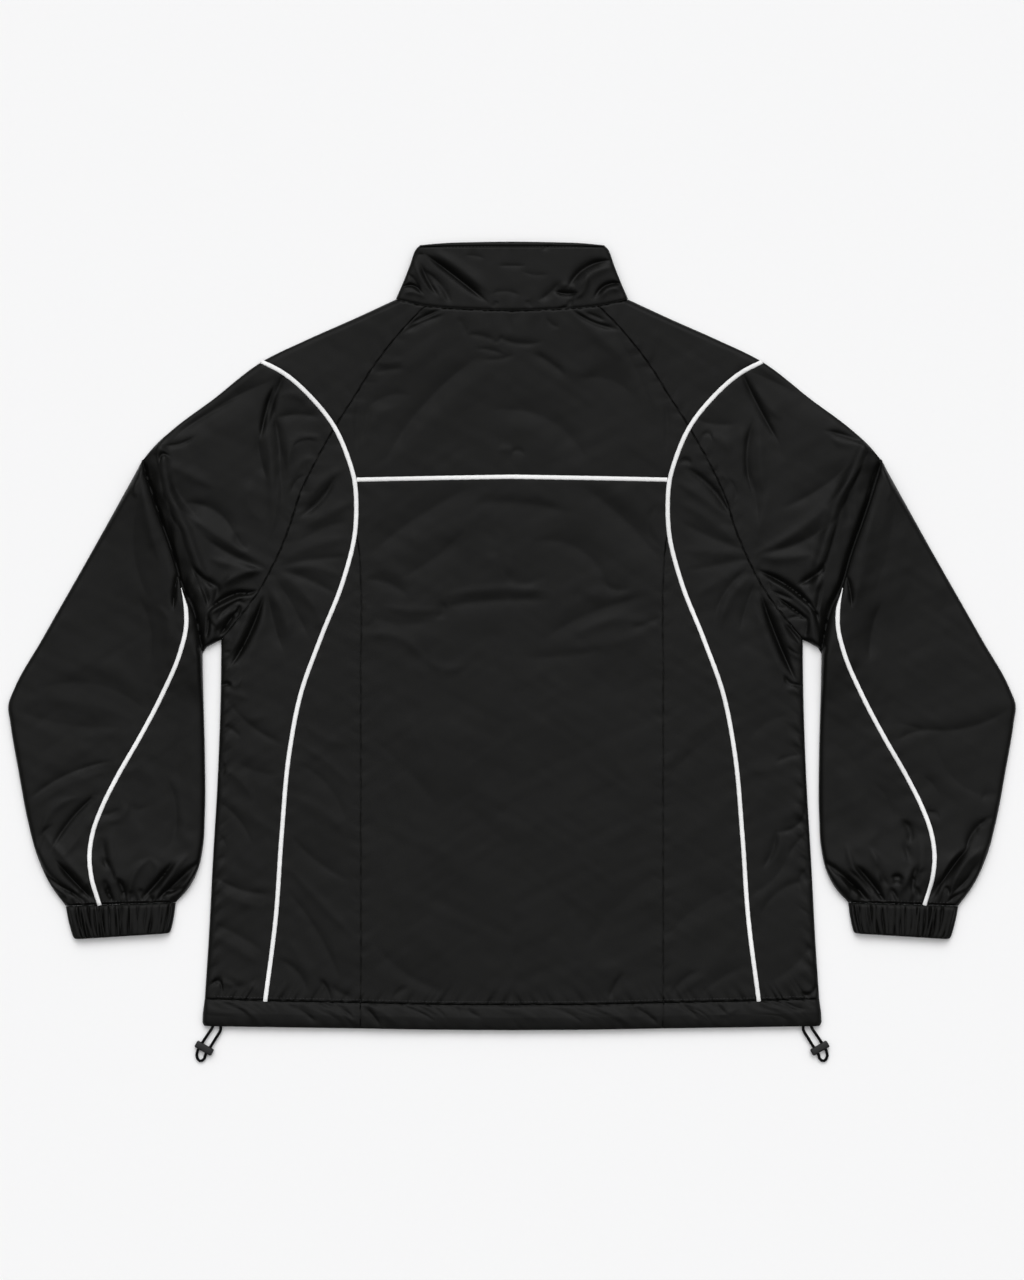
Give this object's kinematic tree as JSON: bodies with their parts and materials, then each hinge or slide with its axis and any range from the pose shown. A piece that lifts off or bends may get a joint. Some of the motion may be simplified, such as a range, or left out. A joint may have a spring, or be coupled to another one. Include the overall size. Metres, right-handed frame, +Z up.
{
  "type": "track jacket",
  "caption": "Black raglan zip-up track jacket with white piping, ribbed cuffs and corded hem, lying flat face down.",
  "frame": {"origin": "middle of the flat underside on the floor, half way between collar top and hem edge", "axes": "+Z up from the floor out of the jacket's back, +Y towards the collar, +X towards the right cuff as seen from the back"},
  "size_m": [1.0068, 0.8198, 0.0154],
  "materials": {
    "shell_cloth": "matt-satin woven",
    "band_cloth": "matt-satin woven",
    "white_piping": "matt",
    "zip_tape": "matt",
    "zip_coil": "satin",
    "black_metal": "satin",
    "shock_cord": "matt",
    "lock_plastic": "satin"
  },
  "bodies": {
    "jacket": {"yoke": "shell_cloth", "centre_back": "shell_cloth", "back_side_left": "shell_cloth", "back_side_right": "shell_cloth", "side_panel_left": "shell_cloth", "side_panel_right": "shell_cloth", "shoulder_left": "shell_cloth", "shoulder_right": "shell_cloth", "upper_sleeve_left": "shell_cloth", "upper_sleeve_right": "shell_cloth", "forearm_outer_left": "shell_cloth", "forearm_outer_right": "shell_cloth", "forearm_inner_left": "shell_cloth", "forearm_inner_right": "shell_cloth", "front_left": "shell_cloth", "front_right": "shell_cloth", "sleeve_front_left": "shell_cloth", "sleeve_front_right": "shell_cloth", "collar": "shell_cloth", "hem_back": "band_cloth", "hem_left": "band_cloth", "hem_right": "band_cloth", "cuff_left": "band_cloth", "cuff_right": "band_cloth", "piping_yoke": "white_piping", "piping_body_left": "white_piping", "piping_body_right": "white_piping", "piping_sleeve_left": "white_piping", "piping_sleeve_right": "white_piping", "zip_tape_left": "zip_tape", "zip_tape_right": "zip_tape", "zip_coil": "zip_coil", "zip_slider": "black_metal", "drawcord_left": "shock_cord", "drawcord_right": "shock_cord", "cord_lock_left": "lock_plastic", "cord_lock_right": "lock_plastic"},
    "zip_pull": {"zip_pull": "black_metal"}
  },
  "joints": [
    {"name": "pull_hinge", "type": "hinge", "parent": "jacket", "child": "zip_pull", "pos_m": [0, 0.3593, 0.00185], "axis": [1, 0, 0], "range_deg": [0, 170]}
  ]
}
